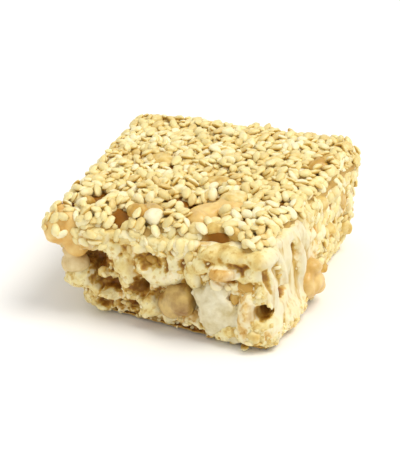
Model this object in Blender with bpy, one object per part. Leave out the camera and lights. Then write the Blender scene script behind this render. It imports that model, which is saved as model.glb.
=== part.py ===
"""Sesame brittle slab: chopped peanuts set in hard amber syrup, pressed flat between two
crusts of sesame seed and cut by hand into a thick square. Metres, +Z up, origin on the
table, under the middle of the slab's box."""

import math
import random

import bmesh
import bpy
from mathutils import Matrix, Vector, noise

MM = 0.001
UP = Vector((0.0, 0.0, 1.0))

# The square that the knife aims at, and how high the pressed sheet stands.
WIDTH = 48.0 * MM
DEPTH = 52.0 * MM
HEIGHT = 20.3 * MM
DOME = 1.2 * MM

# Where each hand cut really runs, as the step in mm from the aimed corner, in the order
# front left, front right, back right, back left. The front left foot has crumbled away.
SIGNS = ((-1, -1), (1, -1), (1, 1), (-1, 1))
TOP_STEPS = ((2.1, 1.8), (-1.0, 2.0), (1.9, 2.8), (-0.8, 0.9))
FOOT_STEPS = ((10.3, 4.5), (1.7, -2.5), (-0.4, -1.2), (1.5, -1.0))
SKIRT = 1.0 * MM  # the blank runs this far below the table before it is sliced level
FRONT, RIGHT = 0, 1

# Edges that pressing and cutting have rounded off.
UPRIGHT_RADIUS = 3.2 * MM
TOP_RADIUS = 2.6 * MM
FOOT_RADIUS = 2.0 * MM
BEVEL_STEPS = 4

# Chopped peanut in the cut sides: a jittered lattice of lumps that bulge from the syrup.
SIDE_INSET = 1.3 * MM
NUT_PITCH = 4.7 * MM
NUT_ROWS = 4
NUT_RADII = (2.0 * MM, 3.2 * MM)
NUT_SINK = (0.3 * MM, 1.4 * MM)
NUT_FROM_CORNER = 3.4 * MM
SMEARED_SINK = 0.6 * MM  # the knife drew the right side smooth, so its lumps lie deeper
CHOPS = 5  # flat breaks on each piece of chopped peanut
CHOP_REACH = (0.62, 0.9)  # how far out they lie, as a share of the kernel's reach
SEED = 20

# Hollows where a nut fell out of the syrup: side, x or y along it, height, radius, depth (mm).
HOLLOWS = (
    (FRONT, -12.8, 12.6, 2.7, 3.2),
    (FRONT, -7.6, 8.3, 1.9, 2.4),
    (FRONT, -2.5, 8.3, 1.9, 2.6),
    (FRONT, -7.0, 3.9, 2.2, 2.4),
    (FRONT, 9.0, 6.4, 1.5, 2.4),
    (FRONT, 20.8, 7.8, 2.0, 2.8),
    (RIGHT, -16.4, 9.8, 1.8, 1.8),
    (RIGHT, 1.6, 7.0, 2.4, 1.8),
)

# The level cuts between the crusts and the core, with the gap that keeps them apart.
GAP = 0.3 * MM
BASE_CRUST = 2.0 * MM
TOP_CRUST_FROM = 18.0 * MM

# Relief finer than a peanut, and the sizes of the facets that carry it.
GRAIN_SIZE = 3.4 * MM
GRAIN_DEPTH = 0.35 * MM
VOXEL = 0.8 * MM
FACETS_KEPT = 0.14
LUMP_SUBDIVISIONS = 2
PEANUT_SUBDIVISIONS = 3

# The slab's own box is not quite centred on the aimed square.
SHIFT = Vector((-1.5 * MM, -0.1 * MM, 0.0))

# The large peanut pieces that can be told apart: centre and full sizes in mm, turn about Z.
PEANUTS = {
    "peanut_corner": ((-17.8, -21.5, 17.0), (8.8, 7.4, 7.8), 25),
    "peanut_pale": ((-16.6, -20.6, 9.9), (6.4, 6.0, 5.4), -20),
    "peanut_golden": ((4.6, -23.0, 5.9), (8.2, 6.6, 6.4), -8),
    "peanut_cut": ((13.0, -24.2, 6.9), (8.0, 6.4, 10.4), 4),
    "peanut_proud": ((23.7, -5.4, 4.9), (6.4, 7.2, 6.2), 10),
    "peanut_top_small": ((-2.6, -17.6, 19.7), (6.4, 6.8, 5.2), 30),
    "peanut_top_large": ((7.8, -14.2, 19.8), (9.6, 7.0, 5.0), 32),
}

COLOURS = {
    "sesame": ("#E6CF91", 0.55),
    "syrup": ("#C6A871", 0.40),
    "peanut": ("#D9B273", 0.48),
}


def linear(hex_colour):
    """The linear RGB of an sRGB hex colour."""
    shares = [int(hex_colour[i : i + 2], 16) / 255 for i in (1, 3, 5)]
    return [s / 12.92 if s <= 0.04045 else ((s + 0.055) / 1.055) ** 2.4 for s in shares]


def food_material(name):
    colour, roughness = COLOURS[name]
    material = bpy.data.materials.new(name)
    material.use_nodes = True
    shader = material.node_tree.nodes["Principled BSDF"]
    shader.inputs["Base Color"].default_value = (*linear(colour), 1.0)
    shader.inputs["Roughness"].default_value = roughness
    shader.inputs["Metallic"].default_value = 0.0
    return material


def clear_scene():
    for thing in list(bpy.data.objects):
        bpy.data.objects.remove(thing, do_unlink=True)


def add_object(name, bm, material=None):
    mesh = bpy.data.meshes.new(name)
    bm.to_mesh(mesh)
    bm.free()
    thing = bpy.data.objects.new(name, mesh)
    bpy.context.scene.collection.objects.link(thing)
    if material:
        mesh.materials.append(material)
    return thing


def add_helper(name, bm):
    """A guide or cutter, which is left out of the model itself."""
    thing = add_object(name, bm)
    thing.hide_render = True
    thing.display_type = "WIRE"
    return thing


def corner(index, level):
    """A corner of the cut square at a level from 0, the foot, to 1, the top."""
    aimed = Vector((SIGNS[index][0] * WIDTH / 2, SIGNS[index][1] * DEPTH / 2, level * HEIGHT))
    step = Vector(FOOT_STEPS[index]).lerp(Vector(TOP_STEPS[index]), level) * MM
    return aimed + Vector((*step, 0.0)) + SHIFT


def outward_of(side, level):
    """The direction straight out of a cut side."""
    run = corner((side + 1) % 4, level) - corner(side, level)
    return run.cross(UP).normalized()


def on_side(side, along, level):
    """A point of a cut side, clear of its corners, at a share of the way along it."""
    start = corner(side, level)
    run = corner((side + 1) % 4, level) - start
    margin = NUT_FROM_CORNER / run.length
    return start + run * (margin + along * (1.0 - 2.0 * margin))


def round_off(bm, edges, radius):
    bmesh.ops.bevel(
        bm,
        geom=list(edges),
        offset=radius,
        affect="EDGES",
        segments=BEVEL_STEPS,
        profile=0.5,
        material=-1,
    )


def add_blank(bm):
    """The syrup body: a square block with rounded edges, its sides set back behind the nuts."""
    inward = [Vector((-x, -y, 0.0)) * SIDE_INSET for x, y in SIGNS]
    low = [bm.verts.new(corner(i, 0.0) + inward[i] - UP * SKIRT) for i in range(4)]
    high = [bm.verts.new(corner(i, 1.0) + inward[i]) for i in range(4)]
    bm.faces.new(reversed(low))
    bm.faces.new(high)
    for i in range(4):
        j = (i + 1) % 4
        bm.faces.new((low[i], low[j], high[j], high[i]))
    round_off(bm, [bm.edges.get((low[i], high[i])) for i in range(4)], UPRIGHT_RADIUS)
    round_off(bm, max(bm.faces, key=face_height).edges, TOP_RADIUS)
    round_off(bm, min(bm.faces, key=face_height).edges, FOOT_RADIUS)


def face_height(face):
    return face.calc_center_median().z


def chop(verts, half, swell, rng):
    """Flattens an oval kernel of these half sizes where it broke, swell further out."""
    for _ in range(CHOPS):
        way = Vector([rng.gauss(0.0, 1.0) for _ in range(3)]).normalized()
        reach = rng.uniform(*CHOP_REACH) * (way * half).length + swell
        for vert in verts:
            vert.co -= way * max(0.0, vert.co.dot(way) - reach)


def add_piece(bm, subdivisions, half, swell, centre, turn, rng):
    """One piece of chopped peanut, grown by swell."""
    verts = bmesh.ops.create_icosphere(bm, subdivisions=subdivisions, radius=1.0)["verts"]
    for vert in verts:
        vert.co = vert.co * (half + Vector((swell, swell, swell)))
    chop(verts, half, swell, rng)
    place = Matrix.Translation(centre) @ Matrix.Rotation(turn, 4, "Z")
    bmesh.ops.transform(bm, matrix=place, verts=verts)


def peanut_centre(name):
    return Vector(PEANUTS[name][0]) * MM + SHIFT


def add_side_nuts(bm):
    """The lumps of chopped peanut all round the square, clear of the large pieces."""
    rng = random.Random(SEED)
    for side in range(4):
        sunk = SMEARED_SINK if side == RIGHT else 0.0
        columns = int((corner((side + 1) % 4, 0.5) - corner(side, 0.5)).length / NUT_PITCH)
        for row in range(NUT_ROWS):
            for column in range(columns):
                along = (column + 0.5 * (row % 2) + 0.25 + rng.uniform(-0.2, 0.2)) / columns
                level = (row + 0.75 + rng.uniform(-0.25, 0.25)) / (NUT_ROWS + 0.5)
                half = Vector([rng.uniform(*NUT_RADII) for _ in range(3)])
                sink = rng.uniform(*NUT_SINK) + sunk + half.length / 3
                centre = on_side(side, along, level) - outward_of(side, level) * sink
                turn = rng.uniform(0.0, math.pi)
                if all((centre - peanut_centre(n)).length > half.length for n in PEANUTS):
                    add_piece(bm, LUMP_SUBDIVISIONS, half, 0.0, centre, turn, rng)


def press_hollow(verts, side, place, height, radius, depth):
    """Pushes a cut side in round one hollow, deepest in its middle."""
    across = 1 if side == RIGHT else 0
    outward = outward_of(side, height * MM / HEIGHT)
    middle = place * MM + SHIFT[across]
    for vert in verts:
        if vert.co.dot(outward) > DEPTH / 4:
            away = math.hypot(vert.co[across] - middle, vert.co.z - height * MM) / (radius * MM)
            vert.co -= outward * depth * MM * max(0.0, 1.0 - away**2) ** 1.5


def dome_share(point):
    """1 over the middle of the top, falling to 0 at its edges and at the foot."""
    across = (point.x - SHIFT.x) / (WIDTH / 2)
    back = (point.y - SHIFT.y) / (DEPTH / 2)
    return max(0.0, 1 - across**2) * max(0.0, 1 - back**2) * max(0.0, point.z / HEIGHT)


def fused_mesh(bm):
    """The mesh of all the closed pieces in bm, fused into one skin."""
    rough = add_helper("rough_blank", bm)
    rough.modifiers.new("fuse", "REMESH").voxel_size = VOXEL
    graph = bpy.context.evaluated_depsgraph_get()
    fused = bpy.data.meshes.new_from_object(rough.evaluated_get(graph))
    bpy.data.objects.remove(rough)
    return fused


def slab_form():
    """The whole uneven slab as one guide, from which every layer is cut."""
    bm = bmesh.new()
    add_blank(bm)
    add_side_nuts(bm)
    fused = fused_mesh(bm)
    bm = bmesh.new()
    bm.from_mesh(fused)
    bpy.data.meshes.remove(fused)
    bmesh.ops.smooth_vert(
        bm, verts=bm.verts, factor=0.4, use_axis_x=True, use_axis_y=True, use_axis_z=True
    )
    for hollow in HOLLOWS:
        press_hollow(bm.verts, *hollow)
    bm.normal_update()
    for vert in bm.verts:
        vert.co += vert.normal * GRAIN_DEPTH * noise.noise(vert.co / GRAIN_SIZE)
        vert.co.z += DOME * dome_share(vert.co)
    form = add_helper("slab_form", bm)
    form.modifiers.new("facets", "DECIMATE").ratio = FACETS_KEPT
    return form


def peanut_shape(name, swell):
    """A large piece of peanut, or its seat when it is grown by swell."""
    sizes, turn = PEANUTS[name][1:]
    bm = bmesh.new()
    half = Vector(sizes) * MM / 2
    rng = random.Random(name)
    add_piece(
        bm, PEANUT_SUBDIVISIONS, half, swell, peanut_centre(name), math.radians(turn), rng
    )
    return bm


def add_layer(name, low, high, form, seats, material):
    """What lies between two levels of the form, with a seat for each large peanut in it."""
    bm = bmesh.new()
    bmesh.ops.create_cube(bm, size=1.0)
    box = Matrix.Translation(UP * (low + high) / 2)
    box = box @ Matrix.Diagonal((2 * WIDTH, 2 * DEPTH, high - low, 1.0))
    bmesh.ops.transform(bm, matrix=box, verts=bm.verts)
    layer = add_object(name, bm, material)
    outline = layer.modifiers.new("outline", "BOOLEAN")
    outline.operation = "INTERSECT"
    outline.object = form
    for seat in seats:
        heights = [vert.co.z for vert in seat.data.vertices]
        if min(heights) < high and max(heights) > low:
            cut = layer.modifiers.new(seat.name, "BOOLEAN")
            cut.operation = "DIFFERENCE"
            cut.object = seat


clear_scene()
sesame = food_material("sesame")
syrup = food_material("syrup")
peanut = food_material("peanut")
form = slab_form()
seats = [add_helper(name + "_seat", peanut_shape(name, GAP)) for name in PEANUTS]
add_layer("sesame_base", 0.0, BASE_CRUST, form, seats, sesame)
add_layer("peanut_core", BASE_CRUST + GAP, TOP_CRUST_FROM, form, seats, syrup)
add_layer("sesame_top", TOP_CRUST_FROM + GAP, 2 * HEIGHT, form, seats, sesame)
for name in PEANUTS:
    add_object(name, peanut_shape(name, 0.0), peanut)
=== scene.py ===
"""A slab of sesame brittle in its full dress. The file follows the way the slab is made: the
syrup core that was pressed and cut by hand, the chopped peanut that stands in it, the crumb
that the knife left, the two seed crusts, and last the table, the light and the camera."""

import math
import random

import bmesh
import bpy
import numpy as np
from mathutils import Matrix, Vector, noise
from mathutils.bvhtree import BVHTree
from mathutils.kdtree import KDTree


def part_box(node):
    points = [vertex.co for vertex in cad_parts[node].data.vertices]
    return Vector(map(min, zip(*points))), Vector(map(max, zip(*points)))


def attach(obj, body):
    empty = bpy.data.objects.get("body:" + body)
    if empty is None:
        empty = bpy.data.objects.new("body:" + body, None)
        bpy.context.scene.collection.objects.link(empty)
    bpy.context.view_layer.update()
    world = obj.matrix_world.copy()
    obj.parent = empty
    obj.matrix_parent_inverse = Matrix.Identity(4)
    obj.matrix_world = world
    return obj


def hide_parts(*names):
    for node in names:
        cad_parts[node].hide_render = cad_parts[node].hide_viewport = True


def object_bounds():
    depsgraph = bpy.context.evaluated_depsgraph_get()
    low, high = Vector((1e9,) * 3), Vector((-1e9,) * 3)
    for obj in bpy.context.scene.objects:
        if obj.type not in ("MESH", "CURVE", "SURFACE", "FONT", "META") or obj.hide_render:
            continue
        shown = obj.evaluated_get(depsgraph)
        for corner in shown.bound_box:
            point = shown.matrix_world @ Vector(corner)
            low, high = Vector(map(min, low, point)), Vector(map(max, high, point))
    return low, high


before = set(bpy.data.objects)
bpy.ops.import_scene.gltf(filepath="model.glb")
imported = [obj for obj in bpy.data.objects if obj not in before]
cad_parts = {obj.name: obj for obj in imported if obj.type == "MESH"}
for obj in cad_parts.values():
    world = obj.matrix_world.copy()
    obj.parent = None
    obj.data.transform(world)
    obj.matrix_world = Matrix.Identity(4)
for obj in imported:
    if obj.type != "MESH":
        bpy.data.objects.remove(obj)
cad_low, cad_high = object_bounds()


# Syrup core ---------------------------------------------------------------------------
# Hard amber syrup, clouded by nut crumb, that binds the chopped peanut. It was pressed into
# a sheet between the crusts and cut while warm, and the knife drew its right side into
# upright strands. Where a nut fell out, the clear dark syrup shows at the bottom of a pit,
# and pits and hollows are darkened further with painted shade.

MM = 0.001
UP = Vector((0.0, 0.0, 1.0))
FRONT = Vector((0.0, -1.0, 0.0))
RIGHT = Vector((1.0, 0.0, 0.0))
PIN_REACH = 60 * MM  # how far outside the slab a measuring pin starts
LAYER_TOUCH = 0.01 * MM  # how near a layer's face a point counts as lying on it

LAYER_GAP = 0.3 * MM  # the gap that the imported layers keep, which the core is drawn out over
CORE_VOXEL = 0.27 * MM
CORE_SMOOTHING = 2
NEXT = (-1, 0, 1)
TRIES = 30  # how often a place is sought for each grain that is wanted
CORE_FOOT = 0.3 * MM  # the lowest that the core reaches
LUMP_ROOT = 2.2 * MM  # how deep a glazed lump is rooted in the core
LUMP_BARE = 0.42  # share of a glazed lump's size that loose bits leave free

# Glazed lumps that tell the cut sides apart: side, place along it, height, width, height
# and how far it stands out, all in mm, then its lean in degrees and its tone from 0 to 1.
GLAZED_LUMPS = (
    (FRONT, -15.2, 15.2, 5.6, 6.8, 2.0, 15, 0.92),
    (FRONT, -9.4, 15.2, 5.4, 4.8, 1.2, -25, 0.45),
    (FRONT, -7.6, 11.6, 6.0, 4.0, 1.0, -12, 0.30),
    (FRONT, -4.6, 15.8, 4.6, 4.0, 1.2, 10, 0.62),
    (FRONT, -0.4, 10.9, 9.4, 5.2, 1.7, -8, 0.55),
    (FRONT, 2.6, 14.9, 6.0, 4.4, 1.2, 20, 0.50),
    (FRONT, 6.8, 12.6, 4.4, 6.8, 2.2, 12, 0.40),
    (FRONT, 8.4, 15.0, 4.6, 4.8, 2.4, 10, 0.36),
    (FRONT, 10.4, 17.4, 6.8, 3.4, 2.2, 6, 0.24),
    (FRONT, 14.6, 17.7, 8.0, 3.4, 2.4, -2, 0.22),
    (FRONT, 18.8, 17.2, 6.6, 4.0, 2.0, -6, 0.26),
    (FRONT, 12.8, 14.7, 7.2, 4.0, 3.0, 0, 1.05),
    (FRONT, 18.3, 14.8, 4.6, 4.6, 2.2, 0, 0.42),
    (FRONT, 17.2, 6.6, 4.2, 12.4, 1.9, -4, 0.84),
    (FRONT, 10.8, 11.6, 4.2, 3.0, 1.3, 10, 0.80),
    (FRONT, -12.6, 17.6, 4.4, 2.8, 1.4, 5, 0.35),
    (FRONT, -6.6, 17.9, 5.2, 2.6, 1.3, -6, 0.55),
    (FRONT, -1.2, 17.8, 4.6, 2.6, 1.2, 4, 0.40),
    (FRONT, 3.6, 17.9, 5.0, 2.6, 1.4, 8, 0.60),
    (FRONT, -13.9, 6.4, 5.4, 5.0, 1.2, 30, 0.35),
    (FRONT, -1.6, 4.2, 4.6, 3.8, 1.4, 0, 0.30),
    (FRONT, 8.6, 3.4, 3.4, 3.4, 0.9, 0, 0.50),
    (FRONT, -12.6, 2.4, 4.0, 3.6, 0.3, 12, 0.35),
    (FRONT, -6.2, 2.0, 4.6, 3.4, 0.2, -8, 0.40),
    (FRONT, 0.6, 2.0, 4.8, 3.2, 0.4, 6, 0.45),
    (FRONT, 8.2, 1.9, 3.6, 3.0, 0.3, 6, 0.50),
    (FRONT, 12.6, 2.0, 4.4, 3.2, 0.5, 0, 0.55),
    (RIGHT, -22.6, 10.0, 3.6, 14.0, 1.0, 4, 0.60),
    (RIGHT, -19.0, 12.4, 2.9, 12.5, 1.7, 7, 0.64),
    (RIGHT, -14.8, 14.0, 2.4, 9.0, 0.9, -5, 0.60),
    (RIGHT, -11.0, 11.8, 3.2, 14.5, 1.9, 8, 0.66),
    (RIGHT, -6.6, 14.0, 2.6, 9.5, 1.1, 12, 0.62),
    (RIGHT, -21.4, 17.6, 3.4, 3.2, 0.8, 6, 0.55),
    (RIGHT, -17.2, 18.0, 2.8, 2.6, 0.6, -8, 0.62),
    (RIGHT, -13.2, 17.5, 3.6, 3.4, 0.9, 4, 0.58),
    (RIGHT, -8.8, 18.0, 3.0, 2.8, 0.7, 10, 0.62),
    (RIGHT, -15.2, 4.6, 4.4, 6.0, 0.8, 0, 0.50),
    (RIGHT, 4.8, 13.0, 3.6, 7.0, 0.4, 0, 0.50),
    (RIGHT, 12.6, 10.6, 4.6, 6.4, 0.4, 20, 0.70),
)

# Glaze that runs round the front left corner, under and between the large peanuts there,
# and swells the right foot: centre and full sizes in mm, and tone.
CORNER_LUMPS = (
    (-17.6, -20.2, 13.6, 6.4, 5.6, 6.2, 0.75),
    (-19.4, -19.0, 16.4, 6.6, 7.4, 5.0, 0.70),
    (-16.2, -18.6, 7.4, 7.0, 6.0, 7.6, 0.35),
    (-13.8, -19.4, 3.6, 7.2, 5.6, 5.6, 0.25),
    (-17.0, -22.0, 7.6, 6.0, 4.4, 4.0, 0.30),
    (-15.6, -22.6, 9.4, 2.6, 2.4, 3.0, 0.45),
    (-18.6, -13.0, 9.6, 5.4, 9.0, 9.0, 0.45),
    (20.4, -23.6, 4.0, 6.0, 5.6, 7.4, 0.55),
    (21.6, -16.0, 3.6, 4.6, 9.0, 6.4, 0.55),
)

# Pits and crevices: side, place, height, half width, half height and depth in mm.
PITS = (
    (FRONT, -13.8, 11.6, 4.0, 3.0, 2.6),
    (FRONT, -11.0, 7.2, 4.4, 1.8, 1.8),
    (FRONT, -4.4, 7.6, 3.0, 1.9, 2.1),
    (FRONT, -11.8, 3.4, 2.6, 1.8, 1.6),
    (FRONT, -7.6, 3.2, 3.2, 1.4, 1.8),
    (FRONT, -3.8, 1.4, 4.0, 1.2, 1.8),
    (FRONT, -1.9, 14.0, 2.9, 1.5, 1.2),
    (FRONT, 8.8, 6.4, 1.3, 4.4, 2.6),
    (FRONT, 6.4, 1.3, 4.6, 1.2, 2.0),
    (FRONT, 15.9, 15.5, 0.45, 0.6, 0.5),
    (FRONT, 14.1, 13.3, 2.3, 0.5, 1.0),
    (FRONT, 20.3, 7.7, 1.6, 1.8, 3.0),
    (RIGHT, -18.6, 9.6, 2.0, 1.7, 1.8),
    (RIGHT, -23.9, 13.6, 0.35, 2.8, 0.9),
    (RIGHT, -12.8, 14.6, 0.5, 2.8, 1.0),
    (RIGHT, 1.0, 6.6, 2.2, 1.2, 0.9),
    (RIGHT, 16.6, 11.4, 1.2, 2.4, 0.8),
)
PIT_WARP = 0.9  # how ragged a pit's outline is, as a share of its size
PIT_RAGS = 1.8 * MM
PIT_REACH = 1.6  # how far out a ragged pit can still open, as a share of its size
PIT_STEEP = 1.5  # how steeply a pit falls away from its rim
PIT_LIMIT = 1.3  # and how far it may fall, as a share of its depth
PIT_POOL_AND_SHADE = 0.22  # painted shade in a shallow pit, partly the dark syrup pooled there
PIT_POOL_AND_SHADE_PER_MM = 0.038  # and how much darker the painted shade grows with each mm of depth

# Chips of nut under the glaze, from splinters to half kernels, all round the cut sides.
CHIPS = 1300
CHIP_SPACING = 1.3 * MM
CHIP_HALF = (0.7 * MM, 2.6 * MM)
CHIP_SUNK = (-0.25, 0.55)  # share of its size below the syrup's face
CHIP_PROUD = 1.0 * MM  # the furthest that a chip stands out
CHIP_SEED = 20
CHIP_BREAKS = 5
CHIP_REACH = (0.55, 0.9)
CHIP_DARKEST = 0.88

GRIT_SIZE = 1.25 * MM  # crumb stirred into the syrup
GRIT_RISE = 0.34 * MM
GRIT_SEED = 3
STRAND_WIDTH = 1.9 * MM  # the finest threads that the knife drew
STRAND_LENGTH = 12.0 * MM
STRAND_RISE = 0.32 * MM
SMEARED_TO = -2.0 * MM  # the strands fade out this far back along the right side
SMEAR_FADE = 5.0 * MM
SMEAR_FOOT = 2.0 * MM  # and this far above the table
TUCK = 1.1 * MM  # how far the back half of the right side lies in, under its seeds
FOOT_TUCK = 0.8  # how much more at the foot
TUCKED_FROM = -4.0 * MM
TUCK_FADE = 6.0 * MM
DEPTH_SPREAD = 60  # rounds of averaging that give the even surface which pits are measured from
DEEPEST = 0.8 * MM

SYRUP_COLOURS = (
    (0.0, "#CFAC5C"), (0.22, "#E6D088"), (0.48, "#F4E8B0"), (0.66, "#F7ECC4"), (0.84, "#EDD08C"),
    (1.0, "#D8AA58"),
)
DRAWN_WHITE_AND_SHEEN_COLOUR = "#DED6BC"  # the drawn strands hold air, so they are whiter; paler and less yellow also as a painted sheen on the right side
DRAWN_SHARE = 0.55
# Painted shade: the syrup is darkened where it lies below its neighbourhood, in pits and hollows.
RECESS_SHADE_COLOURS = ((0.50, "#FFFFFF"), (0.60, "#DEC07A"), (0.74, "#A87C3E"), (0.95, "#6A461C"))


def linear(hex_colour):
    """The linear RGBA of an sRGB hex colour."""
    shares = [int(hex_colour[i : i + 2], 16) / 255 for i in (1, 3, 5)]
    return *[s / 12.92 if s <= 0.04045 else ((s + 0.055) / 1.055) ** 2.4 for s in shares], 1.0


def add_node(material, kind, links=None, values=None, stops=(), **settings):
    """A shader node with its settings, its links from other nodes' outputs, its plain input
    values and, on a colour ramp, its stops."""
    node = material.node_tree.nodes.new("ShaderNode" + kind)
    for name, value in settings.items():
        setattr(node, name, value)
    for socket, value in (values or {}).items():
        node.inputs[socket].default_value = value
    for socket, output in (links or {}).items():
        material.node_tree.links.new(output, node.inputs[socket])
    for i, (place, colour) in enumerate(stops):
        ramp = node.color_ramp.elements
        stop = ramp[i] if i < 2 else ramp.new(place)
        stop.position = place
        stop.color = linear(colour)
    return node


def new_material(name, **values):
    """A material with the constant values of its Principled shader set."""
    material = bpy.data.materials.new(name)
    material.use_nodes = True
    shader = material.node_tree.nodes["Principled BSDF"]
    shader.subsurface_method = "BURLEY"
    for socket, value in values.items():
        shader.inputs[socket.replace("_", " ")].default_value = value
    return material


def toned_colour(material, coords, patches, stops):
    """The colour that each vertex's tone gives, varied in soft patches: their size and detail,
    and how far each shifts the tone."""
    tone = add_node(material, "Attribute", attribute_name="tone").outputs["Fac"]
    for size, detail, swing in patches:
        cloud = add_node(material, "TexNoise", {"Vector": coords}, {"Scale": 1 / size, "Detail": detail})
        patchy = add_node(
            material, "MapRange", {0: cloud.outputs["Fac"]}, {1: 0.3, 2: 0.7, 3: -swing, 4: swing}
        )
        tone = add_node(material, "Math", {0: tone, 1: patchy.outputs[0]}, operation="ADD").outputs[0]
    return add_node(material, "ValToRGB", {0: tone}, stops=stops).outputs[0]


def with_painted_shade(material, colour, share, stops):
    """The colour times what a share gives, such as how deep a point lies: painted shade in hollows and round
    the seeds' feet.
    """
    shade = add_node(material, "ValToRGB", {0: share}, stops=stops)
    mixed = add_node(
        material, "Mix", {6: colour, 7: shade.outputs[0]}, {0: 1.0},
        data_type="RGBA", blend_type="MULTIPLY",
    )
    return mixed.outputs[2]


def finish(material, colour, coords, size, strength, deep):
    """Gives a material its colour and a fine grain of this size, strength and depth."""
    grain = add_node(material, "TexNoise", {"Vector": coords}, {"Scale": 1 / size, "Detail": 3.0})
    bump = add_node(
        material, "Bump", {"Height": grain.outputs["Fac"]}, {"Strength": strength, "Distance": deep}
    )
    shader = material.node_tree.nodes["Principled BSDF"]
    material.node_tree.links.new(colour, shader.inputs["Base Color"])
    material.node_tree.links.new(bump.outputs[0], shader.inputs["Normal"])


def bm_of(*meshes):
    """An editable copy of these meshes together."""
    bm = bmesh.new()
    for mesh in meshes:
        bm.from_mesh(mesh)
    return bm


def merged_copy(node):
    """A CAD node's mesh with its loose triangles joined."""
    bm = bm_of(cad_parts[node].data)
    bmesh.ops.remove_doubles(bm, verts=bm.verts, dist=0.004 * MM)
    bm.normal_update()
    return bm


def smooth(bm, times, factor=0.5):
    for _ in range(times):
        bmesh.ops.smooth_vert(
            bm, verts=bm.verts, factor=factor, use_axis_x=True, use_axis_y=True, use_axis_z=True
        )
    bm.normal_update()


def add_piece(name, mesh, material, slot, *nodes):
    """The finished piece: smooth shaded, riding on the slab, in place of these CAD nodes."""
    mesh.shade_smooth()
    mesh.materials.append(material)
    piece = bpy.data.objects.new(name, mesh)
    bpy.context.scene.collection.objects.link(piece)
    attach(piece, "root")
    if nodes:
        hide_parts(*nodes)
    return piece


def mesh_of(name, bm):
    mesh = bpy.data.meshes.new(name)
    bm.to_mesh(mesh)
    bm.free()
    return mesh


def fused(bm, voxel):
    """All the closed bodies of bm in one skin of even small faces."""
    mesh = mesh_of("rough", bm)
    rough = bpy.data.objects.new("rough", mesh)
    bpy.context.scene.collection.objects.link(rough)
    rough.modifiers.new("fuse", "REMESH").voxel_size = voxel
    skin = bpy.data.meshes.new_from_object(
        rough.evaluated_get(bpy.context.evaluated_depsgraph_get())
    )
    bpy.data.objects.remove(rough)
    bpy.data.meshes.remove(mesh)
    bm = bm_of(skin)
    bpy.data.meshes.remove(skin)
    return bm


def facing_frame(centre, facing, turn):
    """Puts local Z along facing, with local Y as near to upright as it goes, then turns."""
    across = UP.cross(facing)
    across = across.normalized() if across.length > 0.05 else Vector((1.0, 0.0, 0.0))
    upright = facing.cross(across).normalized()
    axes = Matrix((across, upright, facing)).transposed().to_4x4()
    return Matrix.Translation(centre) @ axes @ Matrix.Rotation(turn, 4, "Z")


def grain_shape(bm):
    """The points and triangles of one grain."""
    bmesh.ops.triangulate(bm, faces=bm.faces)
    bm.verts.index_update()
    points = np.array([vert.co for vert in bm.verts])
    corners = np.array([[vert.index for vert in face.verts] for face in bm.faces])
    bm.free()
    return points, corners


def ball(subdivisions):
    bm = bmesh.new()
    bmesh.ops.create_icosphere(bm, subdivisions=subdivisions, radius=1.0)
    return grain_shape(bm)


BALLS = {subdivisions: ball(subdivisions) for subdivisions in (2, 3, 4)}


def oval(subdivisions, half, place, rng=None, breaks=0, reach=(1.0, 1.0)):
    """An oval of these half sizes, flattened where it broke, then placed by a matrix."""
    points, corners = BALLS[subdivisions]
    points = points * half
    for _ in range(breaks):
        way = Vector([rng.gauss(0.0, 1.0) for _ in range(3)]).normalized()
        limit = rng.uniform(*reach) * (way * half).length
        over = np.maximum(points @ np.array(way) - limit, 0.0)
        points = points - over[:, None] * np.array(way)
    turn = np.array(place)
    return points @ turn[:3, :3].T + turn[:3, 3], corners


def joined(name, grains):
    """One mesh of many grains."""
    starts = np.cumsum([0] + [len(points) for points, _ in grains[:-1]])
    faces = [corners + start for (_, corners), start in zip(grains, starts)]
    mesh = bpy.data.meshes.new(name)
    mesh.from_pydata(np.concatenate([points for points, _ in grains]), [], np.concatenate(faces))
    return mesh


def add_grains(bm, grains):
    mesh = joined("grains", grains)
    bm.from_mesh(mesh)
    bpy.data.meshes.remove(mesh)


def tree_of(piece):
    """A finished piece as pins can touch it."""
    return BVHTree.FromObject(piece, bpy.context.evaluated_depsgraph_get())


def on_side(tree, side, place, height):
    """Where a level pin, held at a place and height, first touches a cut side."""
    start = side * PIN_REACH + UP.cross(side) * place + UP * height
    return tree.ray_cast(start, -side)[0]


def off_middle(point, side, place, height):
    """How far across and above the middle of a mark on a cut side a point lies, in mm:
    endlessly far where the point is on another side."""
    if point.dot(side) < cad_high.x / 2:
        return math.inf, math.inf
    return point.dot(UP.cross(side)) / MM - place, point.z / MM - height


def pit_share(point):
    """How far inside a pit's outline a point lies: 0 outside all, 1 in the middle, with the
    side and depth of that pit, and how ragged it is, which a small hole hardly is."""
    best = (0.0, FRONT, 0.0, 0.0)
    for side, place, height, half_width, half_height, depth in PITS:
        across, above = off_middle(point, side, place, height)
        across, above = across / half_width, above / half_height
        if abs(across) < PIT_REACH and abs(above) < PIT_REACH:
            ragged = min(1.0, (half_width - 1.0) / 2.5)
            rag = noise.noise(point / PIT_RAGS) + noise.noise(point * 2.3 / PIT_RAGS)
            rag = 1.0 + PIT_WARP * ragged * rag
            share = 1.0 - (across**2 + above**2) * max(0.3, rag) - 0.3 * max(0.0, rag - 1.0)
            if share > best[0]:
                best = (share, side, depth, ragged)
    return best


def clear_of_pits(point, room=0.0):
    """False where a pit opens, grown by room as a share of its size."""
    for side, place, height, half_width, half_height, _ in PITS:
        across, above = off_middle(point, side, place, height)
        if math.hypot(across / half_width, above / half_height) < 1.0 + room:
            return False
    return True


def clear_of_lumps(point):
    """False on the smooth middle of a glazed lump."""
    for side, place, height, width, tall, *_ in GLAZED_LUMPS:
        across, above = off_middle(point, side, place, height)
        if math.hypot(across / width, above / tall) < LUMP_BARE:
            return False
    return True


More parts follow.
